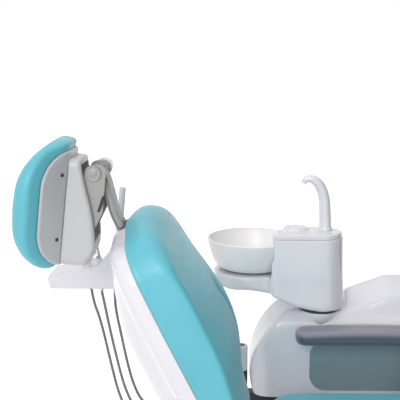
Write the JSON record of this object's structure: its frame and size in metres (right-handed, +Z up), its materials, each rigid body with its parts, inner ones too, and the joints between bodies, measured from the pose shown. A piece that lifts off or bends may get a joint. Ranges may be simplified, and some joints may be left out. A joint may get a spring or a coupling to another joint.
{
  "type": "dental treatment chair",
  "caption": "Dental treatment chair with hinged backrest, articulated headrest, swinging armrest, side box with swivelling cuspidor bowl and filler, and an assistant's instrument arm.",
  "frame": {"origin": "on the floor, at the centre of the four anchor holes of the base plate", "axes": "+X to the patient's feet, +Y to the patient's left, +Z up"},
  "size_m": [1.802, 0.957, 1.2346],
  "materials": {
    "frame_steel": "satin powder coat, dark grey",
    "white_moulding": "gloss white moulded cover",
    "headrest_moulding": "satin light grey moulding",
    "teal_upholstery": "smooth teal upholstery vinyl over foam",
    "armrest_foam": "moulded grey-purple skin foam",
    "brushed_aluminium": "fine brushed, slightly warm",
    "bright_steel": "ground steel",
    "drive_casing": "dark textured casing",
    "bowl_ceramic": "white glaze",
    "spout_enamel": "white gloss enamel",
    "dark_bracket": "satin black paint",
    "instrument_white": "white gloss handpiece plastic",
    "hose_rubber": "smooth dark grey hose",
    "button_blue": "blue push button"
  },
  "bodies": {
    "base": {"base_plate": "frame_steel", "base_cover": "white_moulding", "pivot_bracket": "frame_steel", "lower_pivot_pins": "bright_steel", "lift_actuator": "drive_casing"},
    "lift": {"lift_arm": "frame_steel", "lift_arm_cover": "white_moulding"},
    "parallel": {"parallel_arm": "frame_steel"},
    "lift_ram": {"lift_rod": "bright_steel"},
    "seat": {"seat_frame": "frame_steel", "upper_pivot_pins": "bright_steel", "back_hinge_pin": "bright_steel", "recline_actuator": "drive_casing", "seat_pan": "white_moulding", "seat_cushion": "teal_upholstery", "leg_cushion": "teal_upholstery", "armrest_post_left": "frame_steel", "armrest_pad_left": "armrest_foam", "armrest_post_right": "frame_steel", "side_box": "white_moulding", "side_panel": "white_moulding", "valve_block": "drive_casing", "drain_trap": "drive_casing", "swivel_ring": "dark_bracket", "assistant_bracket": "dark_bracket"},
    "recline_ram": {"recline_rod": "bright_steel"},
    "back": {"back_frame": "frame_steel", "back_shell": "white_moulding", "back_screw_caps": "white_moulding", "stem_guide": "frame_steel", "back_cushion": "teal_upholstery"},
    "stem": {"headrest_stem": "brushed_aluminium"},
    "link": {"headrest_link": "brushed_aluminium", "headrest_pivot_pin": "bright_steel"},
    "lock_knob": {"headrest_lock_knob": "spout_enamel"},
    "headrest": {"headrest_shell": "headrest_moulding", "headrest_screws": "dark_bracket", "headrest_tilt_pin": "bright_steel", "headrest_cushion": "teal_upholstery"},
    "right_armrest": {"armrest_pivot_right": "frame_steel", "armrest_pad_right": "armrest_foam"},
    "cuspidor": {"cuspidor_tower": "white_moulding", "cuspidor_cap": "white_moulding", "filler_spout": "spout_enamel", "flush_nozzle": "bright_steel"},
    "bowl": {"cuspidor_bowl": "bowl_ceramic", "bowl_strainer": "bright_steel"},
    "assistant": {"assistant_arm": "spout_enamel", "instrument_holder": "white_moulding", "suction_handpiece": "instrument_white", "saliva_ejector": "instrument_white", "syringe_body": "bright_steel", "hose_manifold": "drive_casing", "ejector_hose": "hose_rubber", "syringe_hose": "hose_rubber", "suction_hose": "hose_rubber"},
    "suction_lever": {"suction_valve": "bright_steel"},
    "ejector_lever": {"ejector_valve": "bright_steel"},
    "water_button": {"syringe_water_button": "button_blue"},
    "air_button": {"syringe_air_button": "button_blue"}
  },
  "joints": [
    {"name": "lift", "type": "hinge", "parent": "base", "child": "lift", "pos_m": [0.25, 0, 0.17], "axis": [0, 1, 0], "range_deg": [-8.4, 38.4]},
    {"name": "seat_level", "type": "hinge", "parent": "lift", "child": "seat", "pos_m": [-0.22485, 0, 0.24012], "axis": [0, 1, 0], "range_deg": [-38.5, 8.5]},
    {"name": "parallel", "type": "hinge", "parent": "base", "child": "parallel", "pos_m": [0.25, 0, 0.24], "axis": [0, 1, 0], "range_deg": [-8.5, 38.5]},
    {"name": "lift_ram_slide", "type": "slide", "parent": "base", "child": "lift_ram", "axis": [-1, 0, 0], "range_m": [-0.016, 0.068]},
    {"name": "back_recline", "type": "hinge", "parent": "seat", "child": "back", "pos_m": [-0.325, 0, 0.435], "axis": [0, -1, 0], "range_deg": [-8, 58]},
    {"name": "recline_ram_slide", "type": "slide", "parent": "seat", "child": "recline_ram", "axis": [1, 0, 0], "range_m": [-0.012, 0.079]},
    {"name": "headrest_height", "type": "slide", "parent": "back", "child": "stem", "axis": [-0.4478, 0, 0.8942], "range_m": [-0.05, 0.06]},
    {"name": "headrest_link", "type": "hinge", "parent": "stem", "child": "link", "pos_m": [-0.697, 0, 1.155], "axis": [0, 1, 0], "range_deg": [0, 165]},
    {"name": "lock_knob_turn", "type": "hinge", "parent": "link", "child": "lock_knob", "pos_m": [-0.697, 0.06, 1.155], "axis": [0, 1, 0], "range_deg": [0, 90]},
    {"name": "headrest_tilt", "type": "hinge", "parent": "link", "child": "headrest", "pos_m": [-0.742, 0, 1.04], "axis": [0, -1, 0], "range_deg": [-5, 25]},
    {"name": "right_armrest_swing", "type": "hinge", "parent": "seat", "child": "right_armrest", "pos_m": [0.17, -0.301, 0.58], "axis": [0, 0, 1], "range_deg": [0, 90]},
    {"name": "cuspidor_swivel", "type": "hinge", "parent": "seat", "child": "cuspidor", "pos_m": [-0.104, 0.42, 0.68], "axis": [0, 0, -1], "range_deg": [-20, 60]},
    {"name": "bowl_turn", "type": "hinge", "parent": "cuspidor", "child": "bowl", "pos_m": [-0.305, 0.48, 0.787], "axis": [0, 0, 1], "range_deg": [-90, 90]},
    {"name": "assistant_swing", "type": "hinge", "parent": "seat", "child": "assistant", "pos_m": [-0.337, 0.43, 0.5], "axis": [0, 0, -1], "range_deg": [0, 85]},
    {"name": "suction_valve_turn", "type": "hinge", "parent": "assistant", "child": "suction_lever", "pos_m": [-0.70574, 0.43, 0.91525], "axis": [0, 1, 0], "range_deg": [0, 90]},
    {"name": "ejector_valve_turn", "type": "hinge", "parent": "assistant", "child": "ejector_lever", "pos_m": [-0.81503, 0.445, 0.84695], "axis": [0, 1, 0], "range_deg": [0, 90]},
    {"name": "water_button_press", "type": "slide", "parent": "assistant", "child": "water_button", "axis": [0, 1, 0], "range_m": [0, 0.003], "stiffness_N_per_m": 300, "springref_m": -0.001},
    {"name": "air_button_press", "type": "slide", "parent": "assistant", "child": "air_button", "axis": [0, 1, 0], "range_m": [0, 0.003], "stiffness_N_per_m": 300, "springref_m": -0.001}
  ],
  "couplings": [
    {"joint": "seat_level", "follows": "lift", "ratio": -1},
    {"joint": "parallel", "follows": "lift", "ratio": 1},
    {"joint": "lift_ram_slide", "follows": "lift", "m_per_rad": 0.0979},
    {"joint": "recline_ram_slide", "follows": "back_recline", "m_per_rad": 0.0768}
  ]
}
